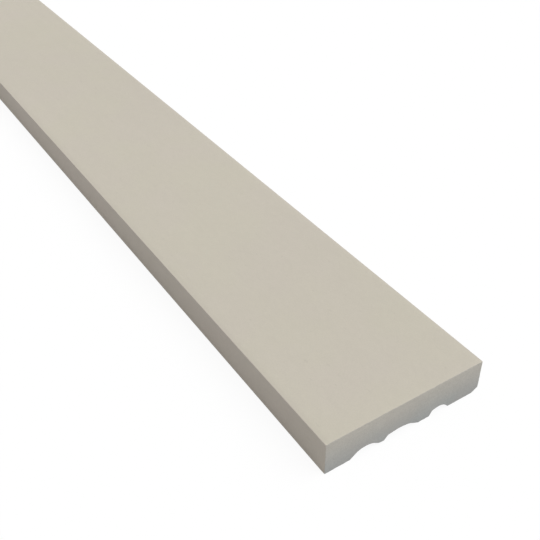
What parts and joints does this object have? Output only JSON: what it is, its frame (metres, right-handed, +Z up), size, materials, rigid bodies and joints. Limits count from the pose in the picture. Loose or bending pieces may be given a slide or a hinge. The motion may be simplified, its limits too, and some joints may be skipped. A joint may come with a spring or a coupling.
{
  "type": "fibre cement trim board",
  "caption": "Smooth-faced flat trim board of fibre cement, with square sawn ends, eased long edges and shallow relief scallops run along its back.",
  "frame": {"origin": "middle of the back plane, halfway along the board and halfway across it", "axes": "+X along the length, towards the sawn end that the picture shows; +Y across the width, towards the edge whose back corner is bevelled; +Z up through the thickness, out of the painted face"},
  "size_m": [3.6576, 0.0888, 0.0191],
  "materials": {
    "fibre_cement": "matte"
  },
  "bodies": {
    "root": {"trim_board": "fibre_cement"}
  },
  "joints": []
}
